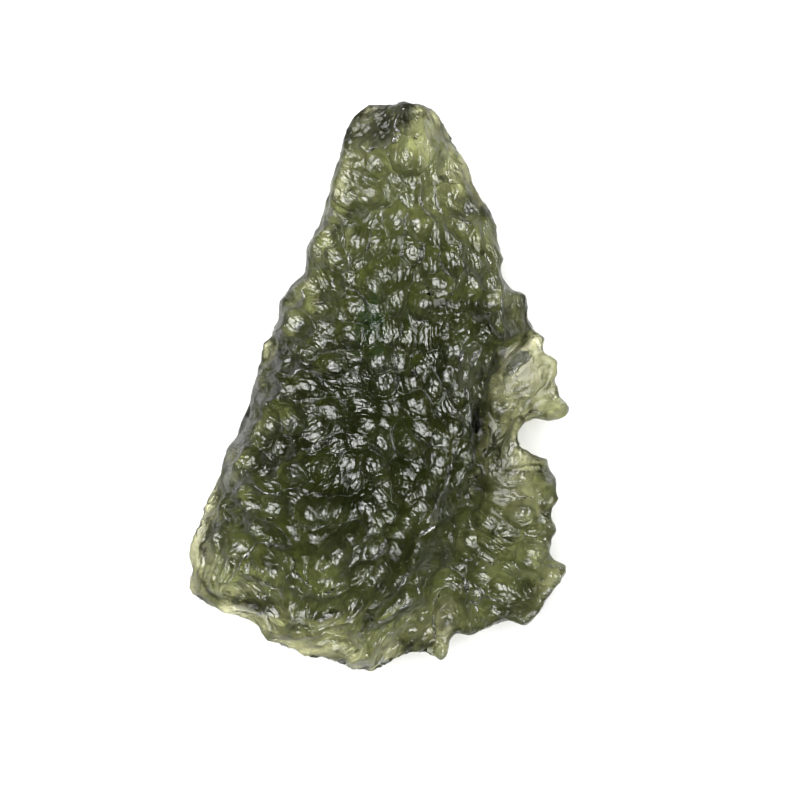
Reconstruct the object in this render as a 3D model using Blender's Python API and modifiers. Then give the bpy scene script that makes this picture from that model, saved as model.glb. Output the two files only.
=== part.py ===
# Moldavite: one piece of green natural glass, eaten by the ground into scoops, grooves and sharp ridges.
# It lies flat on a small worn spot. Y runs along its length with the narrow crown at +Y, the thin
# toothed flange is at +X, and Z is its thickness. Sizes here are in millimetres, the mesh is in metres.
import math

import bmesh
import bpy
import numpy as np
from mathutils.bvhtree import BVHTree
from mathutils.kdtree import KDTree

MM = 0.001
NODE = "moldavite"
SEED = 1750

# The edge seen from above, clockwise from the left of the crown: x, y and how far the edge bows on
# its way to the next point, where plus swells out and minus is scooped in.
OUTLINE = [
    (-1.92, 13.75, 0.31), (-0.31, 15.83, 0.03), (0.36, 15.67, -0.09), (1.08, 15.86, 0.00),
    (1.25, 15.92, 0.09), (3.19, 15.42, 0.03), (3.94, 14.50, 0.00), (3.97, 14.25, 0.03),
    (5.03, 12.42, 0.00), (5.75, 10.58, 0.11), (6.58, 8.94, -0.16), (7.03, 7.19, -0.39),
    (7.58, 5.36, 0.04), (8.28, 5.19, -0.04), (8.33, 3.89, -0.02), (8.69, 3.14, -0.04),
    (9.33, 2.94, -0.02), (9.19, 2.11, -0.07), (10.06, 1.53, -0.25), (10.19, -0.61, 0.11),
    (10.69, -1.25, 0.02), (10.19, -1.69, 0.00), (9.17, -1.93, -0.03), (8.69, -1.78, -0.83),
    (8.69, -3.69, -0.02), (9.53, -3.79, 0.00), (9.53, -4.56, -0.03), (9.97, -4.83, 0.06),
    (9.83, -5.86, 0.00), (10.14, -6.21, -0.53), (10.14, -7.77, -0.29), (9.50, -9.47, 0.06),
    (10.53, -9.92, 0.07), (10.08, -10.88, 0.00), (9.14, -12.03, 0.00), (9.03, -12.33, 0.08),
    (8.08, -13.29, -0.42), (6.25, -13.37, -0.15), (5.14, -13.77, -0.02), (4.36, -13.55, -0.08),
    (3.97, -14.08, 0.00), (3.83, -14.92, 0.02), (3.47, -15.17, -0.35), (1.08, -15.14, -0.03),
    (-0.25, -15.92, 0.04), (-1.64, -15.64, -0.17), (-3.97, -15.03, -0.07), (-6.14, -14.14, -0.28),
    (-7.92, -12.69, 0.04), (-9.25, -12.36, 0.08), (-10.58, -11.14, 0.10), (-10.44, -10.08, 0.18),
    (-10.47, -8.42, -0.06), (-9.58, -6.22, -0.14), (-8.56, -3.97, 0.14), (-7.92, -2.75, 0.00),
    (-7.39, -1.36, -0.04), (-6.61, 1.08, 0.00), (-6.47, 2.69, -0.14), (-5.47, 3.75, -0.03),
    (-5.56, 4.69, 0.15), (-4.14, 6.19, -0.08), (-4.03, 7.86, 0.00), (-3.25, 8.97, 0.04),
    (-2.69, 11.11, 0.00),
]
ARC_STEP = 0.3
STRAIGHT_BOW = 0.025

# Thickness. The rim is a plane that wanders up and down, and the glass swells above and below it.
RIM_HALF = 0.28
RIM_HEIGHT = 3.2
RIM_WANDER = 0.35
RIM_ROLL = 0.25
RIM_ROLL_WIDTH = 0.5
BODY_LEVELS = [-16.0, -14.6, -11.8, -9.0, -6.2, -3.5, 2.1, 7.6, 10.4, 13.2, 15.9]
BODY_TOP = [0.8, 1.3, 2.6, 3.5, 4.0, 4.1, 3.8, 3.2, 2.8, 2.4, 1.8]
BODY_BOTTOM = [0.7, 1.0, 1.8, 2.5, 2.9, 3.1, 2.9, 2.4, 2.1, 1.8, 1.4]
BODY_ROUNDING = 4.2
BELLY_ROUNDING = 8.0

# The flange right of the body: a scarp drops to it, and low down it thickens and melts into the body.
SCARP_LEVELS = [-12.9, -9.6, -7.1, -5.7, -2.4, 1.0, 2.3, 3.2, 4.3, 8.0]
SCARP_X = [4.0, 4.8, 5.4, 5.9, 6.0, 6.2, 6.7, 8.3, 9.6, 12.0]
SCARP_WIDTH = [3.5, 3.2, 1.8, 0.7, 0.6, 0.6, 0.7, 0.8, 0.8, 0.8]
SCARP_WALL = 1.0
UNDER_SCARP_WIDTH = 2.6
FLANGE_TOP = [2.4, 2.3, 1.5, 0.95, 0.85, 0.80, 0.9, 1.0, 1.0, 1.0]
FLANGE_BOTTOM = [2.0, 1.9, 1.3, 0.85, 0.80, 0.80, 0.8, 0.9, 0.9, 0.9]
FLANGE_ROUNDING = [2.4, 2.3, 1.7, 1.0, 0.9, 0.9, 0.9, 0.9, 0.9, 0.9]

# Thin clear aprons along the edge: x, y, reach along the edge and width.
NARROW_APRON = 0.05
APRONS = [
    (3.9, 14.4, 1.3, 0.40), (5.2, 11.6, 1.9, 0.45), (-10.2, -9.9, 1.6, 0.85), (-9.1, -11.6, 1.9, 0.75),
    (-6.8, -13.3, 1.9, 0.60), (-4.7, -14.6, 1.6, 0.50), (8.7, -12.1, 1.5, 0.55), (-6.1, 2.1, 0.8, 0.80),
    (2.3, -14.6, 1.2, 0.45), (-0.9, -15.6, 1.4, 0.40), (9.6, 0.7, 1.2, 0.50), (-10.0, -7.7, 2.0, 0.75),
    (-8.9, -5.0, 1.7, 0.50), (-7.6, -2.0, 1.2, 0.35),
]

# Broken faces on the upper side, a little hollow as glass breaks: x, y, height over the rim there,
# how steeply the face dips, the angle that it dips towards, and how round its hollow is.
CHIPS = [
    (-0.5, 14.4, 1.00, 38, 126, 3.0), (7.7, 4.4, 1.10, 48, 5, 2.5), (-9.3, -8.6, 1.30, 30, 175, 4.0),
    (-7.2, -12.6, 0.90, 34, 235, 3.0), (8.6, -11.2, 1.10, 36, 320, 3.0),
]

# Ridges and crests on the upper side: height, half width and the way they run.
FLANK_REACH = 1.6
FLANK_POWER = 1.6
END_FADE_RATE = 5.0
END_FADE_START = 0.25
RIDGES = [
    (1.20, 1.05, [(4.2, -4.5), (3.3, -6.2), (2.4, -8.5), (1.4, -10.7), (0.0, -12.6), (-1.1, -14.6)]),
    (0.45, 0.55, [(6.6, -2.1), (7.9, -1.5), (9.2, -1.2), (10.4, -1.1)]),
    (0.45, 0.60, [(6.8, -5.2), (8.3, -5.1), (9.9, -5.1)]),
    (0.35, 0.50, [(7.4, -6.4), (8.7, -6.0), (10.0, -6.2)]),
    (0.40, 0.50, [(7.6, -8.5), (9.2, -7.8), (10.1, -7.8)]),
    (0.45, 0.55, [(6.0, -8.6), (7.4, -9.5), (9.0, -10.4), (10.3, -10.0)]),
    (0.50, 0.55, [(6.8, -9.6), (8.5, -11.2)]),
    (0.45, 0.55, [(4.4, -10.7), (6.1, -12.4)]),
    (0.50, 0.70, [(-2.4, 12.0), (-2.1, 9.9), (-1.8, 7.0), (-2.0, 5.3)]),
    (0.65, 0.65, [(-6.6, -0.4), (-4.4, -0.8), (-1.6, -1.0), (0.2, -0.8)]),
    (0.65, 0.65, [(-5.4, -3.9), (-3.1, -3.0), (-1.7, -2.1)]),
    (0.65, 0.65, [(-8.4, -5.1), (-6.3, -5.5), (-4.4, -6.3), (-1.7, -5.6)]),
    (0.65, 0.65, [(-7.5, -6.8), (-5.8, -7.4), (-4.4, -8.1), (-1.5, -7.5)]),
    (0.60, 0.60, [(-6.5, 0.9), (-4.4, 0.9), (-1.9, 0.0)]),
    (0.55, 0.60, [(-8.5, -7.9), (-6.5, -8.9), (-4.4, -8.6)]),
    (0.60, 0.55, [(-5.1, -9.9), (-4.1, -10.5), (-3.1, -11.1), (-1.8, -11.6)]),
    (0.30, 0.45, [(1.6, 15.6), (1.2, 14.6), (0.4, 13.6)]),
    (0.30, 0.45, [(-1.6, 13.3), (-0.2, 13.0), (0.9, 13.5)]),
    (0.35, 0.60, [(4.6, -3.6), (4.5, -2.2), (4.7, -0.8)]),
]

# Grooves and deep pits on the upper side: depth, half width and the way they run.
GROOVES = [
    (1.10, 0.65, [(3.0, -5.0), (1.9, -7.4), (1.0, -9.3), (-0.5, -11.0), (-2.1, -12.1)]),
    (1.50, 0.50, [(5.8, -0.6), (5.7, -2.1), (5.6, -3.5)]),
    (1.40, 0.45, [(5.5, -4.7), (5.5, -6.0)]),
    (0.45, 0.30, [(8.5, 2.5), (7.8, 1.8), (7.2, 1.1), (7.1, 0.2)]),
    (0.35, 0.25, [(6.9, 2.8), (6.9, 1.5)]),
    (0.45, 0.35, [(8.6, -7.4), (8.5, -7.9)]),
    (0.45, 0.35, [(8.3, -9.2), (8.1, -9.8)]),
    (0.45, 0.45, [(5.6, -9.9), (7.2, -11.9)]),
    (0.90, 0.65, [(3.8, -11.0), (4.1, -12.1), (4.0, -13.6)]),
    (0.55, 0.45, [(1.9, 4.5), (4.2, 4.7), (6.8, 4.9)]),
    (0.45, 0.75, [(0.6, 9.8), (0.5, 7.1), (0.3, 4.9), (-0.2, 2.4), (0.1, 0.0)]),
    (0.55, 0.60, [(-5.9, -1.7), (-2.1, -1.5)]),
    (0.60, 0.65, [(-5.2, -4.7), (-0.9, -4.2)]),
    (0.55, 0.55, [(-7.2, -6.2), (-2.4, -6.7)]),
    (0.65, 0.60, [(-7.2, -9.6), (-4.4, -9.1), (-2.4, -9.7)]),
    (0.75, 0.55, [(-7.9, -11.5), (-6.5, -12.1), (-5.0, -12.5)]),
    (0.40, 0.50, [(-2.2, -12.0), (-4.4, -12.7)]),
    (0.50, 0.50, [(-6.6, 1.2), (-4.6, 1.5)]),
]

# Single hollows, minus, and bumps, plus: height, x, y, half length, half width and the long way's angle.
HOLLOWS = [
    (-0.60, -0.7, 14.7, 1.7, 1.2, 20), (-0.50, -0.5, 12.4, 0.8, 0.5, 10), (-0.50, 1.6, 12.5, 0.9, 0.5, -25),
    (-0.55, 4.6, 10.2, 1.2, 0.7, -30), (-0.40, -1.9, 10.1, 0.8, 0.6, -30), (-0.40, -2.7, 7.9, 0.8, 0.7, 0),
    (0.40, 2.6, 13.8, 1.3, 0.7, 85), (0.35, 4.6, 11.4, 0.8, 0.6, 70), (0.45, 9.2, -5.0, 0.8, 0.8, 0),
    (0.35, -9.2, -10.1, 0.8, 0.7, 0), (0.35, -9.2, -6.9, 0.8, 0.6, 40), (0.40, -7.9, -4.1, 0.9, 0.6, 0),
    (0.40, -7.1, -2.4, 0.9, 0.7, -30), (-0.70, -6.4, -9.9, 1.0, 0.7, 0), (-0.25, 8.0, 0.4, 1.3, 0.9, 60),
    (-0.25, 7.5, -3.4, 1.2, 0.7, 80), (-0.45, 7.6, 2.9, 0.8, 0.5, 60), (-0.40, 7.9, -6.9, 0.9, 0.7, 20),
]

# The underside is guessed: a convex belly with a few long swells, crossed by two shallow channels.
UNDER_RIDGES = [
    (0.30, 1.20, [(-5.0, -9.5), (-3.0, -4.0), (-2.2, 2.5), (-0.4, 8.0)]),
    (0.30, 1.10, [(5.0, -11.5), (4.0, -6.5), (4.2, -1.0), (4.4, 5.0)]),
    (0.40, 0.90, [(-7.0, -11.0), (-3.0, -12.6), (2.0, -13.0)]),
]
UNDER_GROOVES = [
    (0.45, 0.90, [(-8.5, -6.5), (-5.5, -3.5), (-4.4, 0.5)]),
    (0.45, 0.80, [(1.0, 13.0), (2.6, 9.0), (2.4, 5.0)]),
    (0.40, 0.80, [(1.5, -9.5), (5.0, -8.5), (8.0, -9.0)]),
]

# The broad uneven waves that every natural surface has: their two directions and starts.
SWELL_X = (0.8, 0.35, 1.0)
SWELL_Y = (-0.5, 0.45, 2.0)
TOP_SWELL = 0.18
UNDER_SWELL = 0.12
EDGE_QUIET = 0.6

# How the scoops lie: x, y, the angle of their long way and their size against SCOOP_HALF_LENGTH.
GRAIN = [
    (2.8, 13.8, 85, 1.2), (-0.5, 14.6, 110, 0.9), (-1.8, 12.4, 130, 0.9), (-1.6, 11.2, 145, 1.0),
    (-2.1, 9.2, 150, 1.0), (-0.2, 8.8, 60, 1.0), (3.4, 9.6, 115, 1.1), (4.8, 9.0, 120, 1.0),
    (4.0, 7.9, 100, 1.0), (1.5, 6.5, 95, 1.1), (4.2, 5.4, 92, 1.1), (4.2, 3.7, 88, 1.0),
    (0.9, 3.7, 95, 1.1), (1.7, 1.5, 90, 1.0), (2.6, 0.1, 100, 1.0), (2.9, -1.8, 125, 1.1),
    (-2.1, 4.6, 145, 1.0), (-1.9, 0.1, 160, 1.0), (-3.2, -0.7, 0, 1.0), (-5.5, -0.1, 155, 1.0),
    (-3.2, -2.6, 25, 1.0), (-6.0, -2.1, 120, 0.9), (-7.7, -3.8, 170, 0.9), (-6.3, -5.7, 165, 0.9),
    (-2.7, -5.6, 60, 0.8), (-4.9, -7.4, 135, 0.9), (-1.9, -8.8, 60, 1.1), (1.2, -5.7, 130, 1.0),
    (1.8, -4.6, 125, 1.0), (3.4, -5.1, 85, 1.0), (4.0, -4.9, 85, 1.1), (2.3, -9.0, 150, 0.8),
    (5.4, -6.5, 160, 1.0), (5.9, -7.9, 140, 1.0), (7.3, -10.1, 145, 1.1), (4.8, -11.0, 150, 1.1),
    (4.0, -11.8, 80, 1.0), (7.9, -7.9, 170, 1.1), (8.4, -5.1, 0, 1.2), (7.9, 0.4, 20, 1.25),
    (7.0, -2.9, 80, 1.2), (6.2, 4.3, 92, 0.8), (5.4, -2.4, 90, 0.7), (-8.3, -7.4, 20, 0.9),
    (-9.1, -10.1, 80, 0.9), (-7.1, -11.8, 145, 1.0), (-4.4, -11.3, 85, 0.9), (-2.7, -14.0, 20, 1.1),
    (0.1, -13.8, 60, 1.2), (2.9, -14.0, 45, 1.0),
]
GRAIN_BLEND = 0.3
SCOOP_HALF_LENGTH = 1.22
SCOOP_HALF_WIDTH = 0.82
SCOOP_THROUGH = 1.0
SCOOP_DEPTH = 0.60
SCOOP_DEPTH_SPREAD = 0.45
SCOOP_SPACING = 0.90
SCOOP_TRIES = 9000
SCATTER_HALF = (11.5, 17.0)
UNDER_TURN = 40
THIN_GLASS = 3.6
THIN_LEAST = 0.25
EDGE_KEPT = 0.6
NEAREST_SCOOPS = 10

# The small worn spot that it rests on, under its centre of mass.
REST_X = 0.0
REST_Y = -2.3
REST_ACROSS = 3.0
REST_ALONG = 3.8
REST_DEPTH = 3.6
REST_CUT = 0.10

# Mesh sizes.
SLAB_HALF = 1.0
SLAB_VOXEL = 0.16
SHAPE_VOXEL = 0.15
TRIANGLES = 9700
ABOVE_ALL = 20.0
OUTLINE_MERGE = 0.001
CUT_SNAP = 0.004
CUT_MERGE = 0.02

GLASS_COLOUR = (0.20, 0.26, 0.07, 1.0)
GLASS_ROUGHNESS = 0.12
GLASS_IOR = 1.49


def clear_scene():
    for item in list(bpy.data.objects):
        bpy.data.objects.remove(item, do_unlink=True)


def arc_points(start, end, bow):
    # Points from start towards end, without end, on an arc that bows to the left by bow.
    if abs(bow) < STRAIGHT_BOW:
        return [start]
    dx = end[0] - start[0]
    dy = end[1] - start[1]
    chord = math.hypot(dx, dy)
    half_turn = 2.0 * math.atan2(2.0 * abs(bow), chord)
    radius = chord / (2.0 * math.sin(half_turn))
    count = max(2, round(2.0 * half_turn * radius / ARC_STEP))
    points = []
    for step in range(count):
        angle = half_turn * (2.0 * step / count - 1.0)
        along = 0.5 + radius * math.sin(angle) / chord
        aside = math.copysign(radius * (math.cos(angle) - math.cos(half_turn)) / chord, bow)
        points.append((start[0] + along * dx - aside * dy, start[1] + along * dy + aside * dx))
    return points


def edge_points():
    points = []
    for index, (x, y, bow) in enumerate(OUTLINE):
        next_x, next_y, _ = OUTLINE[(index + 1) % len(OUTLINE)]
        points.extend(arc_points((x, y), (next_x, next_y), bow))
    return np.array(points)


def line_distance(points, line, closed=False):
    # Distance of each point to a run of straight pieces, and where along it, from 0 to 1.
    ends = np.roll(line, -1, axis=0) if closed else line[1:]
    starts = line if closed else line[:-1]
    lengths = np.linalg.norm(ends - starts, axis=1)
    passed = np.concatenate(([0.0], np.cumsum(lengths)))
    best = np.full(len(points), np.inf)
    where = np.zeros(len(points))
    for start, end, length, before in zip(starts, ends, lengths, passed):
        way = end - start
        part = np.clip((points - start) @ way / length**2, 0.0, 1.0)
        distance = np.linalg.norm(points - start - part[:, None] * way, axis=1)
        nearer = distance < best
        best[nearer] = distance[nearer]
        where[nearer] = (before + part[nearer] * length) / passed[-1]
    return best, where


def smooth_step(value):
    value = np.clip(value, 0.0, 1.0)
    return value * value * (3.0 - 2.0 * value)


def rounded(distance, reach):
    # A quarter ellipse that rises from 0 at the edge to 1 at the reach.
    left = 1.0 - np.clip(distance / reach, 0.0, 1.0)
    return np.sqrt(1.0 - left * left)


def end_fade(where):
    # A ridge or groove sinks away at both ends.
    nearest_end = np.minimum(where, 1.0 - where)
    return np.sqrt(np.clip(END_FADE_RATE * nearest_end + END_FADE_START, 0.0, 1.0))


def ridge_height(points, ridges):
    # Sharp crests with hollow flanks.
    height = np.zeros(len(points))
    for top, half_width, way in ridges:
        distance, where = line_distance(points, np.array(way))
        flank = np.clip(1.0 - distance / (FLANK_REACH * half_width), 0.0, 1.0) ** FLANK_POWER
        height += top * end_fade(where) * flank
    return height


def groove_depth(points, grooves):
    # Round floors with clear shoulders.
    depth = np.zeros(len(points))
    for deep, half_width, way in grooves:
        distance, where = line_distance(points, np.array(way))
        depth += deep * end_fade(where) * np.clip(1.0 - (distance / half_width) ** 2, 0.0, 1.0)
    return depth


def turned(offset, angle):
    # Offsets measured along and across a direction given in degrees.
    turn = np.radians(angle)
    along = offset[:, 0] * np.cos(turn) + offset[:, 1] * np.sin(turn)
    across = offset[:, 1] * np.cos(turn) - offset[:, 0] * np.sin(turn)
    return along, across


def hollow_height(points):
    height = np.zeros(len(points))
    for top, x, y, half_length, half_width, angle in HOLLOWS:
        along, across = turned(points - (x, y), angle)
        spread = (along / half_length) ** 2 + (across / half_width) ** 2
        height += top * np.clip(1.0 - spread, 0.0, 1.0)
    return height


def chipped(points, top):
    # The upper surface where the broken faces have taken it down.
    for x, y, height, dip, angle, roundness in CHIPS:
        offset = points - (x, y)
        along, _ = turned(offset, angle)
        face = height - math.tan(math.radians(dip)) * along
        face += np.sum(offset**2, axis=1) / (2.0 * roundness)
        top = np.minimum(top, np.maximum(face, RIM_HALF))
    return top


def apron_width(points):
    width = np.full(len(points), NARROW_APRON)
    for x, y, reach, wide in APRONS:
        distance = np.linalg.norm(points - (x, y), axis=1)
        width = np.maximum(width, wide * (1.0 - smooth_step(distance / reach - 0.5)))
    return width


def slow_swell(points):
    waves = [np.sin(points @ (over_x, over_y) + start) for over_x, over_y, start in (SWELL_X, SWELL_Y)]
    return waves[0] * waves[1]


def scarp_place(points):
    # How far each point lies left of the scarp, and how wide the scarp's slope is there.
    x, y = points[:, 0], points[:, 1]
    return np.interp(y, SCARP_LEVELS, SCARP_X) - x, np.interp(y, SCARP_LEVELS, SCARP_WIDTH)


def side_heights(points, edge):
    # How far the glass stands above and below the rim plane at each point.
    y = points[:, 1]
    distance, _ = line_distance(points, edge, closed=True)
    left, width = scarp_place(points)
    body = smooth_step(left / width + 0.5)
    under_body = smooth_step(left / np.maximum(width, UNDER_SCARP_WIDTH) + 0.5)
    inner = np.clip(distance - apron_width(points), 0.0, None)
    body_inner = np.minimum(inner, np.clip(left, 0.0, None) + SCARP_WALL)
    thin_top = RIM_HALF + RIM_ROLL * smooth_step(distance / RIM_ROLL_WIDTH)
    top_body = (np.interp(y, BODY_LEVELS, BODY_TOP) - thin_top) * rounded(body_inner, BODY_ROUNDING)
    flange_round = rounded(distance, np.interp(y, SCARP_LEVELS, FLANGE_ROUNDING))
    top_flange = (np.interp(y, SCARP_LEVELS, FLANGE_TOP) - RIM_HALF) * flange_round
    low_body = (np.interp(y, BODY_LEVELS, BODY_BOTTOM) - RIM_HALF) * rounded(body_inner, BELLY_ROUNDING)
    low_flange = (np.interp(y, SCARP_LEVELS, FLANGE_BOTTOM) - RIM_HALF) * flange_round
    top = body * (thin_top + top_body) + (1.0 - body) * (RIM_HALF + top_flange)
    bottom = RIM_HALF + under_body * low_body + (1.0 - under_body) * low_flange
    return top, bottom, distance


def carved_heights(points, edge):
    top, bottom, distance = side_heights(points, edge)
    near_edge = smooth_step(distance / EDGE_QUIET)
    top += near_edge * (ridge_height(points, RIDGES) - groove_depth(points, GROOVES) + hollow_height(points))
    top += near_edge * TOP_SWELL * slow_swell(points)
    top = chipped(points, top)
    bottom += near_edge * (ridge_height(points, UNDER_RIDGES) - groove_depth(points, UNDER_GROOVES))
    bottom -= near_edge * UNDER_SWELL * slow_swell(points[:, ::-1])
    near_rest = rest_share(points)
    bottom += near_rest * (REST_DEPTH - bottom)
    return np.maximum(top, RIM_HALF), np.maximum(bottom, RIM_HALF)


def rest_share(points):
    # 1 at the resting spot, falling to 0 around it.
    away = np.linalg.norm((points - (REST_X, REST_Y)) / (REST_ACROSS, REST_ALONG), axis=1)
    return np.exp(-(away**4))


def make_slab(edge):
    # The outline filled and extruded as a flat slab.
    curve = bpy.data.curves.new("edge_outline", "CURVE")
    curve.dimensions = "2D"
    curve.fill_mode = "BOTH"
    curve.extrude = SLAB_HALF * MM
    spline = curve.splines.new("POLY")
    spline.points.add(len(edge) - 1)
    for point, (x, y) in zip(spline.points, edge):
        point.co = (x * MM, y * MM, 0.0, 1.0)
    spline.use_cyclic_u = True
    outline = bpy.data.objects.new("edge_outline", curve)
    bpy.context.scene.collection.objects.link(outline)
    mesh = evaluated_mesh(outline)
    bpy.data.objects.remove(outline, do_unlink=True)
    shape = bmesh.new()
    shape.from_mesh(mesh)
    bmesh.ops.remove_doubles(shape, verts=shape.verts, dist=OUTLINE_MERGE * MM)
    shape.to_mesh(mesh)
    shape.free()
    return mesh


def evaluated_mesh(item):
    depsgraph = bpy.context.evaluated_depsgraph_get()
    return bpy.data.meshes.new_from_object(item.evaluated_get(depsgraph))


def with_modifier(item, kind, **settings):
    # Gives the object the mesh that the modifier makes of it.
    modifier = item.modifiers.new(kind.lower(), kind)
    for name, value in settings.items():
        setattr(modifier, name, value)
    mesh = evaluated_mesh(item)
    item.modifiers.clear()
    item.data = mesh


def read_points(mesh):
    flat = np.empty(len(mesh.vertices) * 3, dtype=np.float32)
    mesh.vertices.foreach_get("co", flat)
    return flat.reshape(-1, 3).astype(float) / MM


def read_normals(mesh):
    flat = np.empty(len(mesh.vertices) * 3, dtype=np.float32)
    mesh.vertices.foreach_get("normal", flat)
    return flat.reshape(-1, 3).astype(float)


def write_points(mesh, points):
    mesh.vertices.foreach_set("co", (points * MM).astype(np.float32).ravel())
    mesh.update()


def swell_slab(mesh, edge):
    # Turns the flat slab into the lens-like body, its scarp and its flange.
    points = read_points(mesh)
    level = points[:, 2] / SLAB_HALF
    top, bottom = carved_heights(points[:, :2], edge)
    wander = RIM_WANDER * (1.0 - rest_share(points[:, :2]))
    rim = RIM_HEIGHT + wander * slow_swell(0.5 * points[:, :2])
    points[:, 2] = rim + np.where(level > 0.0, top, bottom) * np.clip(level, -1.0, 1.0)
    write_points(mesh, points)


def grain_at(points):
    # The scoops' long direction and size at each point, blended between the places in GRAIN.
    places = np.array(GRAIN)
    away = np.linalg.norm(points[:, None, :] - places[None, :, :2], axis=2)
    weight = 1.0 / (away**2 + GRAIN_BLEND) ** 2
    double = np.radians(2.0 * places[:, 2])
    angle = 0.5 * np.degrees(np.arctan2(weight @ np.sin(double), weight @ np.cos(double)))
    size = weight @ places[:, 3] / weight.sum(axis=1)
    return angle, size


def scatter_scoops(rng, turn):
    # Spread scoop centres over the whole sheet so that none crowds another, measured along the grain.
    tries = (2.0 * rng.random((SCOOP_TRIES, 2)) - 1.0) * SCATTER_HALF
    angle, size = grain_at(tries)
    angle = angle + turn
    kept = []
    for index, place in enumerate(tries):
        if kept:
            along, across = turned(tries[kept] - place, angle[index])
            reach = np.hypot(along / SCOOP_HALF_LENGTH, across / SCOOP_HALF_WIDTH) / size[index]
            if reach.min() < SCOOP_SPACING:
                continue
        kept.append(index)
    spread = 1.0 + SCOOP_DEPTH_SPREAD * (2.0 * rng.random(len(kept)) - 1.0)
    return tries[kept], angle[kept], size[kept], SCOOP_DEPTH * size[kept] * spread


def points_tree(points):
    tree = KDTree(len(points))
    for slot, point in enumerate(points):
        tree.insert(point, slot)
    tree.balance()
    return tree


def seen_places(mesh, places, top_side):
    # Where a straight line down, or up, through each place meets the stone, and None where it misses.
    surface = BVHTree.FromPolygons([point.co for point in mesh.vertices],
                                   [face.vertices for face in mesh.polygons])
    start = ABOVE_ALL if top_side else -ABOVE_ALL
    inward = (0.0, 0.0, -1.0 if top_side else 1.0)
    return [surface.ray_cast((x * MM, y * MM, start * MM), inward)[0] for x, y in places]


def lay_scoops(mesh, edge, rng, top_side):
    # Each scoop: its centre on the surface, its two directions, its normal, its sizes and its depth.
    places, angle, size, depth = scatter_scoops(rng, 0.0 if top_side else UNDER_TURN)
    seen = seen_places(mesh, places, top_side)
    hit = [index for index, place in enumerate(seen) if place]
    points, normals = read_points(mesh), read_normals(mesh)
    tree = points_tree(points)
    found = [tree.find(seen[index] / MM)[1] for index in hit]
    centre, normal = points[found], normals[found]
    turn = np.radians(angle[hit])
    grain = np.stack((np.cos(turn), np.sin(turn), np.zeros(len(turn))), axis=1)
    across = np.cross(normal, grain)
    across /= np.linalg.norm(across, axis=1)[:, None]
    along = np.cross(across, normal)
    places, depth = places[hit], depth[hit]
    top, bottom, _ = side_heights(places, edge)
    depth *= np.clip((top + bottom) / THIN_GLASS, THIN_LEAST, 1.0)
    if not top_side:
        depth *= 1.0 - rest_share(places)
    return centre, along, across, normal, size[hit], depth


def carve_scoops(mesh, edge):
    # Overlapping bowls: the deepest one wins, so that neighbours meet in sharp ridges.
    rng = np.random.default_rng(SEED)
    sides = [lay_scoops(mesh, edge, rng, top_side) for top_side in (True, False)]
    centre, along, across, normal, size, depth = (np.concatenate(part) for part in zip(*sides))
    tree = points_tree(centre)
    points, normals = read_points(mesh), read_normals(mesh)
    near = np.array([[hit[1] for hit in tree.find_n(point, NEAREST_SCOOPS)] for point in points])
    offset = points[:, None, :] - centre[near]
    reach = (np.einsum("ijk,ijk->ij", offset, along[near]) / SCOOP_HALF_LENGTH) ** 2
    reach += (np.einsum("ijk,ijk->ij", offset, across[near]) / SCOOP_HALF_WIDTH) ** 2
    reach += (np.einsum("ijk,ijk->ij", offset, normal[near]) / SCOOP_THROUGH) ** 2
    cut = (depth[near] * (reach / size[near] ** 2 - 1.0)).min(axis=1)
    shift = normals * np.minimum(cut, 0.0)[:, None]
    distance, _ = line_distance(points[:, :2], edge, closed=True)
    shift[:, :2] *= smooth_step(distance / EDGE_KEPT)[:, None]
    write_points(mesh, points + shift)


def flatten_rest(mesh):
    # Lowers the stone until its belly dips just under the ground, and wears that off flat.
    points = read_points(mesh)
    points[:, 2] -= points[:, 2].min() + REST_CUT
    write_points(mesh, points)
    shape = bmesh.new()
    shape.from_mesh(mesh)
    parts = shape.verts[:] + shape.edges[:] + shape.faces[:]
    bmesh.ops.bisect_plane(shape, geom=parts, dist=CUT_SNAP * MM, plane_co=(0, 0, 0),
                           plane_no=(0, 0, -1), clear_outer=True)
    low = [point for point in shape.verts if point.co.z < CUT_MERGE * MM]
    bmesh.ops.remove_doubles(shape, verts=low, dist=CUT_MERGE * MM)
    rim = [part for part in shape.edges if part.is_boundary]
    for part in rim:
        part.verts[0].co.z = 0.0
        part.verts[1].co.z = 0.0
    bmesh.ops.holes_fill(shape, edges=rim, sides=0)
    bmesh.ops.triangulate(shape, faces=shape.faces)
    bmesh.ops.recalc_face_normals(shape, faces=shape.faces)
    shape.to_mesh(mesh)
    shape.free()


def centre_on_box(mesh):
    # Puts the origin under the middle of the stone's box.
    points = read_points(mesh)
    middle = 0.5 * (points.min(axis=0) + points.max(axis=0))
    points[:, :2] -= middle[:2]
    write_points(mesh, points)


def glass_material():
    glass = bpy.data.materials.new("moldavite_glass")
    glass.use_nodes = True
    shader = glass.node_tree.nodes["Principled BSDF"]
    shader.inputs["Base Color"].default_value = GLASS_COLOUR
    shader.inputs["Roughness"].default_value = GLASS_ROUGHNESS
    shader.inputs["IOR"].default_value = GLASS_IOR
    shader.inputs["Metallic"].default_value = 0.0
    return glass


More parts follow.
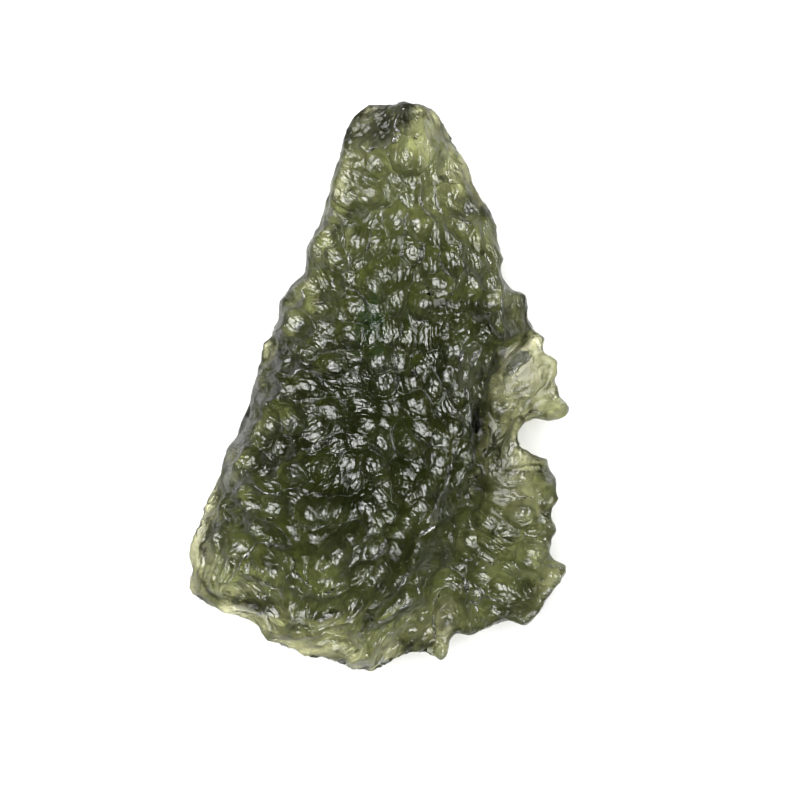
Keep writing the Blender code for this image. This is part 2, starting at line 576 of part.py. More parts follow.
def make_moldavite():
    edge = edge_points()
    stone = bpy.data.objects.new(NODE, make_slab(edge))
    collection = bpy.data.collections.new("moldavite_piece")
    bpy.context.scene.collection.children.link(collection)
    collection.objects.link(stone)
    with_modifier(stone, "REMESH", mode="VOXEL", voxel_size=SLAB_VOXEL * MM)
    swell_slab(stone.data, edge)
    with_modifier(stone, "REMESH", mode="VOXEL", voxel_size=SHAPE_VOXEL * MM)
    carve_scoops(stone.data, edge)
    with_modifier(stone, "REMESH", mode="VOXEL", voxel_size=SHAPE_VOXEL * MM)
    triangles = 2 * len(stone.data.polygons)
    with_modifier(stone, "DECIMATE", ratio=TRIANGLES / triangles, use_collapse_triangulate=True)
    flatten_rest(stone.data)
    centre_on_box(stone.data)
    stone.data.name = NODE
    stone.data.materials.clear()
    stone.data.materials.append(glass_material())
    return stone


clear_scene()
make_moldavite()
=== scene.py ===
import math
import bmesh
import bpy
import numpy as np
from mathutils.bvhtree import BVHTree
from mathutils.kdtree import KDTree
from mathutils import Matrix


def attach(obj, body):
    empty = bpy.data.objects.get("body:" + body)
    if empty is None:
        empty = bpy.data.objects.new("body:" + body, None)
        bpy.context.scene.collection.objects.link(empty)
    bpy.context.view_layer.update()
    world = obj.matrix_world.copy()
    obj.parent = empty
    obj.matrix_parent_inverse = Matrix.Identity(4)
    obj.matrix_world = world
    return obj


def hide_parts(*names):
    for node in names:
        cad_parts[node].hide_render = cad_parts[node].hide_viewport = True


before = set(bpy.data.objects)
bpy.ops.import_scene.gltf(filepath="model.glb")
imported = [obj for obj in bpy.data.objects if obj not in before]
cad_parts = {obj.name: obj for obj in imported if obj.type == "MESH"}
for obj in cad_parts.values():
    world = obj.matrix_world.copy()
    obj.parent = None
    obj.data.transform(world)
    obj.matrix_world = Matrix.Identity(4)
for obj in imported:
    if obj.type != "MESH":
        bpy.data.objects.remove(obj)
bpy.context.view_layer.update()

mm = 0.001  # sizes and places are in mm, and Blender's are in metres
tiny = 1e-6  # keeps a division from failing


def readVectors(mesh, name):
    flat = np.empty(len(mesh.vertices) * 3, dtype=np.float32)
    mesh.vertices.foreach_get(name, flat)
    return flat.reshape(-1, 3).astype(float)


def pointsAndNormals(mesh):
    return readVectors(mesh, "co") / mm, readVectors(mesh, "normal")


def writePoints(mesh, points):
    mesh.vertices.foreach_set("co", points.astype(np.float32).ravel())
    mesh.update()


def shiftOut(mesh, amount):
    # moves each point along its normal, outwards above 0 and inwards below
    points, normals = pointsAndNormals(mesh)
    writePoints(mesh, (points + normals * amount[:, None]) * mm)


def edgeEnds(mesh):
    # both ends of each edge, and how many edges meet at each point
    ends = np.empty(len(mesh.edges) * 2, dtype=np.int32)
    mesh.edges.foreach_get("vertices", ends)
    first, second = ends.reshape(-1, 2).T
    return first, second, np.bincount(ends, minlength=len(mesh.vertices))


def gathered(edges, atFirst, atSecond):
    # adds up what the edges bring to each point
    first, second, neighbours = edges
    return np.bincount(first, atFirst, len(neighbours)) + np.bincount(second, atSecond, len(neighbours))


def neighbourMean(edges, values):
    first, second, neighbours = edges
    return gathered(edges, values[second], values[first]) / neighbours


def spreadOut(mesh, values, rounds):
    # each point takes the mean of its neighbours' values, again and again
    edges = edgeEnds(mesh)
    for _ in range(rounds):
        values = neighbourMean(edges, values)
    return values


def turned(offset, angle):
    turn = np.radians(angle)
    along = offset[:, 0] * np.cos(turn) + offset[:, 1] * np.sin(turn)
    across = offset[:, 1] * np.cos(turn) - offset[:, 0] * np.sin(turn)
    return along, across


# A stroke is a soft oval: x, y, half length, half width, angle in degrees and strength.
# Its strength fades out towards end, over width, both in shares of its half size.
strokeEdge = {"end": 1.35, "width": 0.8}


def strokesAt(points, strokes):
    # the sum of the strokes' strengths at each point, seen from above
    total = np.zeros(len(points))
    for x, y, halfLength, halfWidth, angle, strength in strokes:
        along, across = turned(points[:, :2] - (x, y), angle)
        reach = np.hypot(along / halfLength, across / halfWidth)
        soft = np.clip((strokeEdge["end"] - reach) / strokeEdge["width"], 0.0, 1.0)
        total += strength * soft * soft * (3.0 - 2.0 * soft)
    return np.clip(total, -1.0, 1.0)


def pointsTree(points):
    tree = KDTree(len(points))
    for slot, point in enumerate(points):
        tree.insert(point, slot)
    tree.balance()
    return tree


def nearestCentres(points, centre, count):
    tree = pointsTree(centre)
    return np.array([[hit[1] for hit in tree.find_n(point, count)] for point in points])


def surfaceOf(mesh, places):
    return BVHTree.FromPolygons(places, [face.vertices for face in mesh.polygons])


stone = {
    "mergeWithin": 0.0005,
    "voxel": 0.133,  # mesh size
    "evenRounds": 10,  # takes the flat facets off the solid
    "evenShare": 0.55,
    "swellShare": -0.57,  # gives back what evening takes
    "sideRounds": 24,  # how far the sides' values reach inwards
    "rimSteep": (0.25, 0.60),  # where the sides begin and where they are full
    "rimKept": 0.35,  # share of the marks' depth that is left out on the sides
    "rimSwell": 0.09,  # how far the sides move out, as much as the marks take there
    "topFade": 2.0,  # how soon the upper side's own cuts fade where it slopes
    "edgeRounds": 2,  # evens out the limits below
    "edgeShare": 0.5,  # of the radius of an edge that a mark may take
    "flatRise": 1e-4,  # below it a place counts as flat
    "thickShare": 0.28,  # of the glass under it that a mark may take
    "startDepth": 0.02,  # where the search for the far side starts, under the surface
    "thickest": 4.0,  # and where it ends
    "seed": 31,  # for the furrows, the nicks and the shift of the pattern
}


def mergedCopy(node):
    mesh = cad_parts[node].data.copy()
    shape = bmesh.new()
    shape.from_mesh(mesh)
    bmesh.ops.remove_doubles(shape, verts=shape.verts, dist=stone["mergeWithin"] * mm)
    shape.to_mesh(mesh)
    shape.free()
    mesh.materials.clear()
    return mesh


def remeshed(piece, voxel):
    modifier = piece.modifiers.new("fineMesh", "REMESH")
    modifier.mode = "VOXEL"
    modifier.voxel_size = voxel * mm
    modifier.use_smooth_shade = True
    graph = bpy.context.evaluated_depsgraph_get()
    mesh = bpy.data.meshes.new_from_object(piece.evaluated_get(graph))
    piece.modifiers.clear()
    piece.data = mesh
    print("fine mesh:", len(mesh.vertices), "points")


def evened(mesh, rounds):
    # each point moves towards its neighbours and then back out, so the facets go and the size stays
    points = readVectors(mesh, "co")
    edges = edgeEnds(mesh)
    for _ in range(rounds):
        for share in (stone["evenShare"], stone["swellShare"]):
            mean = np.stack([neighbourMean(edges, axis) for axis in points.T], axis=1)
            points += share * (mean - points)
    writePoints(mesh, points)


def steepness(mesh):
    # 0 on flat places and towards 1 on upright sides, blurred
    return spreadOut(mesh, 1.0 - np.abs(readVectors(mesh, "normal")[:, 2]), stone["sideRounds"])


def sideShare(steep):
    low, high = stone["rimSteep"]
    return np.clip((steep - low) / (high - low), 0.0, 1.0)


def glassUnder(mesh, points, normals):
    # how thick the glass is straight in from each point
    surface = surfaceOf(mesh, points.tolist())
    start = points - normals * stone["startDepth"]
    through = []
    for place, way in zip(start, -normals):
        distance = surface.ray_cast(place, way, stone["thickest"])[3]
        through.append(stone["thickest"] if distance is None else distance)
    return spreadOut(mesh, np.array(through) + stone["startDepth"], stone["edgeRounds"])


def depthAllowed(mesh):
    # how deep a mark may go before a sharp edge folds over itself or thin glass is cut through
    points, normals = pointsAndNormals(mesh)
    edges = edgeEnds(mesh)
    first, second, neighbours = edges
    gap = points[second] - points[first]
    fromFirst = np.einsum("ij,ij->i", gap, normals[first])
    fromSecond = np.einsum("ij,ij->i", gap, normals[second])
    rise = spreadOut(mesh, gathered(edges, fromFirst, -fromSecond) / neighbours, stone["edgeRounds"])
    length = np.einsum("ij,ij->i", gap, gap)
    square = gathered(edges, length, length) / neighbours
    folding = stone["edgeShare"] * square / (2.0 * np.maximum(-rise, stone["flatRise"]))
    return np.minimum(folding, stone["thickShare"] * glassUnder(mesh, points, normals))


def cutUpperSide(mesh, down):
    # cuts in from above, and less and less where the surface slopes
    down = down * np.clip(stone["topFade"] * readVectors(mesh, "normal")[:, 2], 0.0, 1.0)
    shiftOut(mesh, -np.minimum(down, depthAllowed(mesh)))


# Deep dark clefts in the upper side: strokes with a depth in place of the strength
clefts = [
    (5.6, -2.2, 1.4, 0.32, 92, 0.55), (5.5, -5.4, 0.75, 0.34, 85, 0.70), (4.2, 4.6, 2.4, 0.24, 0, 0.22),
    (7.7, 1.5, 1.2, 0.20, 50, 0.15), (-6.6, -12.0, 1.2, 0.30, 5, 0.25), (3.7, -12.6, 1.3, 0.35, 80, 0.25),
    (-6.4, -9.8, 0.7, 0.35, 60, 0.25), (1.5, 14.9, 0.9, 0.25, 60, 0.22),
]


def carveClefts(mesh):
    points = readVectors(mesh, "co") / mm
    down = np.zeros(len(points))
    for *oval, depth in clefts:
        down = np.maximum(down, depth * strokesAt(points, [(*oval, 1.0)]))
    cutUpperSide(mesh, down)
    print("clefts:", len(clefts))


# The broken face at the top: its ridges and streaks spread from one point.
crownBreak = {
    "place": [(-0.5, 14.5, 2.0, 1.5, 0, 1.0), (1.6, 15.0, 0.8, 0.7, 90, 1.0)],
    "struckAt": (1.5, 16.0),
    "ridges": [(9.0, 0.6), (16.0, 0.4)],  # how many to a radian, and their share of the depth
    "ridgeDepth": 0.30,
    "streakReach": 1.6,  # how wide a radian of streaks is
    "edge": (0.25, 0.55),  # the streaks fade out between these strengths of the place
}


def carveRidges(mesh):
    points = readVectors(mesh, "co") / mm
    angle = np.arctan2(*(points[:, :2] - crownBreak["struckAt"]).T)
    wave = sum(share * np.abs(np.sin(count * angle + count)) for count, share in crownBreak["ridges"])
    cutUpperSide(mesh, crownBreak["ridgeDepth"] * wave * strokesAt(points, crownBreak["place"]))
    print("ridges on the broken face carved")


def fanStreaks(points, local, crest):
    # on the broken face the streaks follow rays, and they fade out at its edge
    broken = strokesAt(points, crownBreak["place"])
    offset = points[:, :2] - crownBreak["struckAt"]
    ray = np.stack((np.hypot(*offset.T), crownBreak["streakReach"] * np.arctan2(*offset.T)), axis=1)
    low, high = crownBreak["edge"]
    onFace = broken > 0.5 * (low + high)
    local[onFace, :2] = ray[onFace]
    crest = np.where(onFace, 0.0, crest)
    return local, np.where((broken > low) & (broken < high), 1.0, crest)


# The bowls lie where the solid has them: same seed, same tries, same grain.
bowls = {
    "seed": 1750,
    "tries": 9000,
    "scatterHalf": (11.5, 17.0),  # half the area that the tries fall on
    "halfLength": 1.22,  # along the grain
    "halfWidth": 0.82,
    "through": 1.0,  # and through the surface
    "spacing": 0.90,  # share of a bowl's size
    "spread": 0.45,
    "underTurn": 40,  # degrees that the underside's grain is turned by
    "grainBlend": 0.3,
    "depth": 0.28,  # how much deeper and crisper than on the solid
    "thinGlass": 3.6,  # below this thickness they grow shallow
    "thinLeast": 0.40,
    "rayStart": 20.0,  # well above and below the stone
    "nearest": 10,  # how many bowls near a point are compared
    "crestReach": 0.35,  # share of the depth over which a crest fades
    "patternShift": 50.0,  # so that each bowl reads its own part of the pattern
}

# x, y, angle of the long way and size
grain = [
    (2.8, 13.8, 85, 1.2), (-0.5, 14.6, 110, 0.9), (-1.8, 12.4, 130, 0.9), (-1.6, 11.2, 145, 1.0),
    (-2.1, 9.2, 150, 1.0), (-0.2, 8.8, 60, 1.0), (3.4, 9.6, 115, 1.1), (4.8, 9.0, 120, 1.0),
    (4.0, 7.9, 100, 1.0), (1.5, 6.5, 95, 1.1), (4.2, 5.4, 92, 1.1), (4.2, 3.7, 88, 1.0),
    (0.9, 3.7, 95, 1.1), (1.7, 1.5, 90, 1.0), (2.6, 0.1, 100, 1.0), (2.9, -1.8, 125, 1.1),
    (-2.1, 4.6, 145, 1.0), (-1.9, 0.1, 160, 1.0), (-3.2, -0.7, 0, 1.0), (-5.5, -0.1, 155, 1.0),
    (-3.2, -2.6, 25, 1.0), (-6.0, -2.1, 120, 0.9), (-7.7, -3.8, 170, 0.9), (-6.3, -5.7, 165, 0.9),
    (-2.7, -5.6, 60, 0.8), (-4.9, -7.4, 135, 0.9), (-1.9, -8.8, 60, 1.1), (1.2, -5.7, 130, 1.0),
    (1.8, -4.6, 125, 1.0), (3.4, -5.1, 85, 1.0), (4.0, -4.9, 85, 1.1), (2.3, -9.0, 150, 0.8),
    (5.4, -6.5, 160, 1.0), (5.9, -7.9, 140, 1.0), (7.3, -10.1, 145, 1.1), (4.8, -11.0, 150, 1.1),
    (4.0, -11.8, 80, 1.0), (7.9, -7.9, 170, 1.1), (8.4, -5.1, 0, 1.2), (7.9, 0.4, 20, 1.25),
    (7.0, -2.9, 80, 1.2), (6.2, 4.3, 92, 0.8), (5.4, -2.4, 90, 0.7), (-8.3, -7.4, 20, 0.9),
    (-9.1, -10.1, 80, 0.9), (-7.1, -11.8, 145, 1.0), (-4.4, -11.3, 85, 0.9), (-2.7, -14.0, 20, 1.1),
    (0.1, -13.8, 60, 1.2), (2.9, -14.0, 45, 1.0),
]


def grainAt(places):
    # the angle and size of the nearest hints, blended
    hints = np.array(grain)
    away = np.linalg.norm(places[:, None, :] - hints[None, :, :2], axis=2)
    weight = 1.0 / (away**2 + bowls["grainBlend"]) ** 2
    double = np.radians(2.0 * hints[:, 2])  # doubled, because a long way has no front or back
    angle = 0.5 * np.degrees(np.arctan2(weight @ np.sin(double), weight @ np.cos(double)))
    return angle, weight @ hints[:, 3] / weight.sum(axis=1)


def scatterBowls(rng, turn):
    tries = (2.0 * rng.random((bowls["tries"], 2)) - 1.0) * bowls["scatterHalf"]
    angle, size = grainAt(tries)
    angle = angle + turn
    kept = []
    for index, place in enumerate(tries):
        if kept:
            along, across = turned(tries[kept] - place, angle[index])
            reach = np.hypot(along / bowls["halfLength"], across / bowls["halfWidth"]) / size[index]
            if reach.min() < bowls["spacing"]:
                continue
        kept.append(index)
    spread = 1.0 + bowls["spread"] * (2.0 * rng.random(len(kept)) - 1.0)
    return tries[kept], angle[kept], size[kept], bowls["depth"] * size[kept] * spread


def crossDirections(normal, angle):
    # along the surface at an angle seen from above, and across that
    turn = np.radians(angle)
    way = np.stack((np.cos(turn), np.sin(turn), np.zeros(len(turn))), axis=1)
    across = np.cross(normal, way)
    across /= np.maximum(np.linalg.norm(across, axis=1)[:, None], tiny)
    return np.cross(across, normal), across


def layBowls(mesh, rng, topSide):
    # puts the scattered bowls on the surface, shallower where the glass is thin
    places, angle, size, depth = scatterBowls(rng, 0.0 if topSide else bowls["underTurn"])
    points, normals = pointsAndNormals(mesh)
    surface = surfaceOf(mesh, [point.co for point in mesh.vertices])
    tree = pointsTree(points)
    side = 1.0 if topSide else -1.0
    start = side * bowls["rayStart"] * mm
    found, hit = [], []
    for index, (x, y) in enumerate(places):
        near = surface.ray_cast((x * mm, y * mm, start), (0, 0, -side))[0]
        if near is None:
            continue
        far = surface.ray_cast((x * mm, y * mm, -start), (0, 0, side))[0]
        thick = abs(near.z - far.z) / mm
        depth[index] *= np.clip(thick / bowls["thinGlass"], bowls["thinLeast"], 1.0)
        found.append(tree.find(near / mm)[1])
        hit.append(index)
    centre, normal = points[found], normals[found]
    along, across = crossDirections(normal, angle[hit])
    return centre, along, across, normal, size[hit], depth[hit]


def markReach(points, laid, near, sizes):
    # how far each point lies from the middles of the marks near it: 1 is at a mark's edge
    centre, along, across, normal, size = laid[:5]
    offset = points[:, None, :] - centre[near]
    inAlong = np.einsum("ijk,ijk->ij", offset, along[near])
    inAcross = np.einsum("ijk,ijk->ij", offset, across[near])
    through = np.einsum("ijk,ijk->ij", offset, normal[near])
    reach = (inAlong / sizes["halfLength"]) ** 2 + (inAcross / sizes["halfWidth"]) ** 2
    reach += (through / sizes["through"]) ** 2
    return reach / size[near] ** 2, inAlong, inAcross


def carveBowls(mesh, calm):
    # cuts the bowls, and gives back each point's place in its bowl and how near it is to a crest
    rng = np.random.default_rng(bowls["seed"])
    laid = [np.concatenate(part) for part in zip(layBowls(mesh, rng, True), layBowls(mesh, rng, False))]
    centre, *_, depth = laid
    points = readVectors(mesh, "co") / mm
    near = nearestCentres(points, centre, bowls["nearest"])
    reach, inAlong, inAcross = markReach(points, laid, near, bowls)
    cut = depth[near] * (reach - 1.0)
    order = np.argsort(cut, axis=1)
    rows = np.arange(len(points))
    deepest = order[:, 0]
    lowest = cut[rows, deepest]
    gap = cut[rows, order[:, 1]] - lowest
    sunk = np.minimum(lowest, 0.0) * (1.0 - calm)
    shiftOut(mesh, np.maximum(sunk, -depthAllowed(mesh)))
    shift = np.random.default_rng(stone["seed"]).random(len(centre)) * bowls["patternShift"]
    local = np.stack((inAlong[rows, deepest], inAcross[rows, deepest]), axis=1)
    local = np.pad(local + shift[near[rows, deepest]][:, None], ((0, 0), (0, 1)))
    crest = np.exp(-gap / (bowls["crestReach"] * bowls["depth"]))
    print("bowls:", len(centre))
    return fanStreaks(points, local, crest)


# Smoother (above 0) and rougher (below 0) places
calmPlaces = [
    (-0.5, 14.5, 1.9, 1.4, 0, 0.7), (2.7, 13.2, 1.6, 0.6, 90, 0.35), (0.4, 7.1, 2.4, 0.5, 90, 0.6),
    (4.0, -7.6, 2.0, 0.7, 80, 0.1), (-6.2, 2.0, 0.8, 0.5, 90, 0.6), (7.6, 0.6, 1.9, 1.9, 0, -0.5),
    (8.0, -5.0, 2.4, 1.2, 90, -0.3), (0.9, -9.9, 4.8, 0.45, 62, 0.7), (1.6, 14.8, 0.9, 0.7, 90, 0.9),
    (3.2, -5.6, 0.6, 0.4, 62, 0.5), (3.2, -6.9, 0.7, 0.5, 62, 0.6),
]


def calmness(mesh, side):
    # 0 where the marks go in at full depth, 1 where they are left out, below 0 where they go deeper
    calm = strokesAt(readVectors(mesh, "co") / mm, calmPlaces)
    return 1.0 - (1.0 - calm) * (1.0 - stone["rimKept"] * side)


# Long furrows that run over the bowls and break them up.
furrows = {
    "halfLength": 1.15,
    "halfWidth": 0.34,
    "through": 0.6,
    "spacing": 1.00,
    "depth": 0.12,
    "spread": 0.6,
    "wander": 20,  # degrees off the grain
    "nearest": 10,
    "calmShare": 1.0,  # how much of the calm they heed
}

# Small nicks inside and across the bowls.
nicks = {
    "halfLength": 0.46,
    "halfWidth": 0.28,
    "through": 0.35,
    "spacing": 0.95,
    "depth": 0.045,
    "spread": 0.6,
    "wander": 50,
    "nearest": 8,
    "calmShare": 0.3,
}


def spreadPoints(points, spacing, rng):
    # picks points of the mesh in random order, none closer to another than the spacing
    cells = np.floor(points / spacing).astype(int)
    grid, kept = {}, []
    around = [(i, j, k) for i in (-1, 0, 1) for j in (-1, 0, 1) for k in (-1, 0, 1)]
    for index in rng.permutation(len(points)):
        place, (i, j, k) = points[index], cells[index]
        rivals = [other for di, dj, dk in around for other in grid.get((i + di, j + dj, k + dk), ())]
        if rivals and np.min(np.sum((points[rivals] - place) ** 2, axis=1)) < spacing**2:
            continue
        grid.setdefault((i, j, k), []).append(index)
        kept.append(index)
    return np.array(kept)


def carveMarks(mesh, marks, rng, calm):
    points, normals = pointsAndNormals(mesh)
    kept = spreadPoints(points, marks["spacing"] * math.sqrt(marks["halfLength"] * marks["halfWidth"]), rng)
    centre, normal = points[kept], normals[kept]
    angle = grainAt(centre[:, :2])[0] + marks["wander"] * (2.0 * rng.random(len(kept)) - 1.0)
    along, across = crossDirections(normal, angle)
    depth = marks["depth"] * (1.0 + marks["spread"] * (2.0 * rng.random(len(kept)) - 1.0))
    laid = (centre, along, across, normal, np.ones(len(kept)), depth)
    near = nearestCentres(points, centre, marks["nearest"])
    reach, _, _ = markReach(points, laid, near, marks)
    cut = np.minimum((depth[near] * (reach - 1.0)).min(axis=1), 0.0)
    cut = cut * (1.0 - marks["calmShare"] * calm)
    shiftOut(mesh, np.maximum(cut, -depthAllowed(mesh)))
    print("marks:", len(kept))


# Painted shade (below 0) in the clefts and other dark places, and painted light (above 0) where light comes
# through thin glass and on the ridge
paintedShadeAndLight = [
    (-0.5, 14.5, 1.9, 1.5, 0, -0.9), (1.6, 15.1, 0.8, 0.5, 90, -0.8), (5.3, 10.1, 0.8, 0.7, 90, -0.5),
    (4.2, 4.6, 2.6, 0.35, 0, -0.6), (3.6, 1.5, 1.2, 1.0, 90, -0.2), (5.6, -2.2, 1.4, 0.6, 90, -0.9),
    (5.5, -5.4, 0.7, 0.45, 90, -1.0), (0.9, -9.9, 5.0, 0.45, 62, -0.7), (-6.6, -12.0, 1.3, 0.5, 0, -0.8),
    (-6.3, -9.8, 0.8, 0.7, 90, -0.5), (3.7, -12.6, 1.4, 0.9, 90, -0.6), (7.6, -12.4, 2.2, 0.7, 35, -0.5),
    (7.7, 4.0, 1.4, 0.9, 90, -0.6), (2.7, 13.8, 1.3, 0.6, 90, 1.0), (2.9, 11.6, 1.2, 0.5, 90, 0.6),
    (3.8, 13.2, 3.0, 0.35, -54, 1.0), (4.65, -1.9, 1.3, 0.35, 90, 0.9), (4.85, -4.7, 1.3, 0.3, 90, 0.9),
    (-6.1, 2.0, 0.8, 0.5, 90, 1.0), (-1.9, 11.1, 0.5, 0.4, 90, 0.6), (-2.3, 9.4, 0.5, 0.4, 90, 0.6),
    (-1.9, 7.4, 0.9, 0.3, 90, 0.6), (-3.8, 4.2, 0.7, 0.5, 90, 0.6), (-7.1, -2.2, 0.7, 0.6, 90, 0.7),
    (-7.8, -3.8, 0.7, 0.5, 0, 0.7), (-7.8, -4.9, 0.7, 0.3, 0, 0.7), (-9.2, -6.9, 0.5, 0.4, 0, 0.7),
    (-9.4, -10.2, 0.6, 0.4, 0, 0.7), (-6.8, -10.6, 1.3, 0.7, 0, 0.7), (-2.1, -13.6, 0.8, 0.4, 90, 0.6),
    (8.0, 0.3, 2.2, 1.9, 0, -0.30), (7.6, -4.5, 2.2, 1.7, 90, -0.25), (7.7, 1.5, 1.3, 0.2, 50, -0.6),
    (6.9, 2.1, 0.6, 0.2, 90, -0.6), (8.6, -7.6, 0.4, 0.3, 0, -0.5), (8.3, -9.6, 0.5, 0.4, 90, -0.5),
    (1.2, 8.0, 4.5, 1.8, 90, 0.35), (-1.2, -14.4, 1.0, 0.5, 90, 1.0), (0.1, -13.9, 1.0, 0.9, 90, 0.9),
    (-3.0, -14.4, 0.9, 0.5, 0, 0.7), (-9.6, -8.5, 2.5, 0.8, 70, -0.3), (3.0, -7.9, 3.2, 0.8, 62, 0.65),
    (-2.0, -13.9, 2.5, 0.8, 15, 0.4), (-8.4, -2.9, 3.2, 0.4, 66, -0.5), (3.2, -6.9, 0.4, 0.3, 62, -0.8),
]

# A faint green band in the glass
greenBand = [(-0.2, 2.2, 3.6, 0.9, 92, 1.0)]


def storeMask(mesh, name, values):
    mask = mesh.attributes.new(name, "FLOAT", "POINT")
    mask.data.foreach_set("value", values.astype(np.float32))


def storePattern(mesh, local, crest, steep):
    # what the glass reads at each point: its place in its bowl, crests, sides, painted shade and light, and
    # the band
    spot = mesh.attributes.new("inBowl", "FLOAT_VECTOR", "POINT")
    spot.data.foreach_set("vector", local.astype(np.float32).ravel())
    points = readVectors(mesh, "co") / mm
    storeMask(mesh, "crest", crest)
    storeMask(mesh, "steep", steep)
    # the shade mask holds painted shade (below 0) and painted light (above 0)
    storeMask(mesh, "shade", strokesAt(points, paintedShadeAndLight))
    storeMask(mesh, "band", strokesAt(points, greenBand))


glass = {
    "ior": 1.49,
    "absorbColour": (0.40, 0.46, 0.11, 1.0),
    "absorbDensity": 620.0,  # per metre
    "tintDark": (0.24, 0.25, 0.13, 1.0),
    # pale tone of the glass in the clouds, and also painted light in the clear places
    "tintPaleAndPaintedLight": (0.92, 0.90, 0.60, 1.0),
    # near-black painted shade for the clefts and other dark places
    "tintPaintedShade": (0.008, 0.008, 0.005, 1.0),
    "tintBand": (0.22, 0.42, 0.26, 1.0),
    # painted shade on the steep sides, where the rim looks dark
    "tintPaintedSideShade": (0.18, 0.19, 0.13, 1.0),
    "sideSteep": (0.25, 0.70),  # where the sides begin and where they are full
    "paintedSideShade": 0.85,
    "cloudSize": 2.2,
    "cloudDetail": 2.0,
    "cloudRoughness": 0.6,
    "cloudRange": (0.38, 0.62),
    "deepClouds": (0.3, 0.7, 1.0, 0.6),  # how the clouds thin out a dark place
    "roughness": (0.28, 0.34),  # under the coat, in patches
    "patchSize": 1.4,
    "patchDetail": 1.0,
    "patchRange": (0.3, 0.7),
    "underShine": (0.05, 0.05, 0.05, 1.0),  # the coat does the mirroring
    "coat": 1.0,
    "coatRoughness": 0.11,
    "wornCoat": 0.40,  # what is left of the coat on a crest
    "deepCoat": 0.35,  # and in the darkest places
    "deepRange": (-1.0, -0.2),
    "sideCoat": 0.15,  # and on the sides
    "crestRange": (0.30, 0.60),  # the bowls' own pits and streaks fade out here
    "warpSize": 0.5,
    "warpAmount": 0.15,
    "pitLength": 0.34,
    "pitWidth": 0.18,
    "pitDepth": 0.08,
    "streakLength": 1.6,
    "streakWidth": 0.16,
    "streakDepth": 0.07,
    "streakDetail": 1.0,
    "streakRoughness": 0.6,
    "etchSize": 0.13,
    "etchDepth": 0.02,
}


def addNode(tree, kind, **values):
    # a node with its inputs filled in by name
    node = tree.nodes.new(kind)
    for name, value in values.items():
        node.inputs[name].default_value = value
    return node


def stretched(tree, source, length, width):
    # pattern coordinates for marks that are longer along a bowl than across it
    mapping = addNode(tree, "ShaderNodeMapping", Scale=(1.0 / length, 1.0 / width, 1.0))
    tree.links.new(source, mapping.inputs["Vector"])
    return mapping.outputs["Vector"]


def addBump(tree, height, depth, under):
    bump = addNode(tree, "ShaderNodeBump", Distance=depth * mm)
    tree.links.new(height, bump.inputs["Height"])
    if under is not None:
        tree.links.new(under, bump.inputs["Normal"])
    return bump.outputs["Normal"]


def multiplied(tree, first, second):
    node = tree.nodes.new("ShaderNodeMath")
    node.operation = "MULTIPLY"
    tree.links.new(first, node.inputs[0])
    tree.links.new(second, node.inputs[1])
    return node.outputs["Value"]


def warped(tree, source, size, amount):
    # the same coordinates pushed about by noise, so that no pattern runs straight
    noise = addNode(tree, "ShaderNodeTexNoise", Scale=1.0 / size, Detail=0.0)
    noise.noise_dimensions = "2D"
    tree.links.new(source, noise.inputs["Vector"])
    pushed = tree.nodes.new("ShaderNodeVectorMath")
    pushed.operation = "MULTIPLY_ADD"
    pushed.inputs[1].default_value = (amount, amount, amount)
    tree.links.new(noise.outputs["Color"], pushed.inputs[0])
    tree.links.new(source, pushed.inputs[2])
    return pushed.outputs["Vector"]


def mixed(tree, share, first, second):
    # first and second are a plain colour or a socket
    node = tree.nodes.new("ShaderNodeMix")
    node.data_type = "RGBA"
    tree.links.new(share, node.inputs["Factor"])
    for name, value in (("A", first), ("B", second)):
        socket = next(item for item in node.inputs if item.name == name and item.type == "RGBA")
        if isinstance(value, tuple):
            socket.default_value = value
        else:
            tree.links.new(value, socket)
    return next(item for item in node.outputs if item.type == "RGBA")


def mapRange(tree, value, limits, interpolation="LINEAR"):
    node = tree.nodes.new("ShaderNodeMapRange")
    node.interpolation_type = interpolation
    for name, limit in zip(("From Min", "From Max", "To Min", "To Max"), limits):
        node.inputs[name].default_value = limit
    tree.links.new(value, node.inputs["Value"])
    return node.outputs["Result"]


def readStored(tree, name, output="Fac"):
    mask = tree.nodes.new("ShaderNodeAttribute")
    mask.attribute_name = name
    return mask.outputs[output]


def glassColour(tree, place):
    # clouds in the glass, then painted shade on its sides, painted light and shade in given places, and its
    # green band
    clouds = addNode(tree, "ShaderNodeTexNoise", Scale=1.0 / (glass["cloudSize"] * mm),
                     Detail=glass["cloudDetail"], Roughness=glass["cloudRoughness"])
    tree.links.new(place, clouds.inputs["Vector"])
    cloud = mapRange(tree, clouds.outputs["Fac"], glass["cloudRange"] + (0.0, 1.0))
    colour = mixed(tree, cloud, glass["tintDark"], glass["tintPaleAndPaintedLight"])
    # painted shade: the steep sides are darkened
    sideLimits = glass["sideSteep"] + (0.0, glass["paintedSideShade"])
    side = mapRange(tree, readStored(tree, "steep"), sideLimits, "SMOOTHSTEP")
    colour = mixed(tree, side, colour, glass["tintPaintedSideShade"])
    # painted light (above 0) and painted shade (below 0) in the given places
    shade = readStored(tree, "shade")
    colour = mixed(tree, mapRange(tree, shade, (0.0, 1.0, 0.0, 1.0)), colour, glass["tintPaleAndPaintedLight"])
    # painted shade, near black in the clefts, thinned out by the clouds
    deep = multiplied(tree, mapRange(tree, shade, (-1.0, 0.0, 1.0, 0.0)),
                      mapRange(tree, clouds.outputs["Fac"], glass["deepClouds"]))
    colour = mixed(tree, deep, colour, glass["tintPaintedShade"])
    band = multiplied(tree, readStored(tree, "band"), cloud)
    return mixed(tree, band, colour, glass["tintBand"])


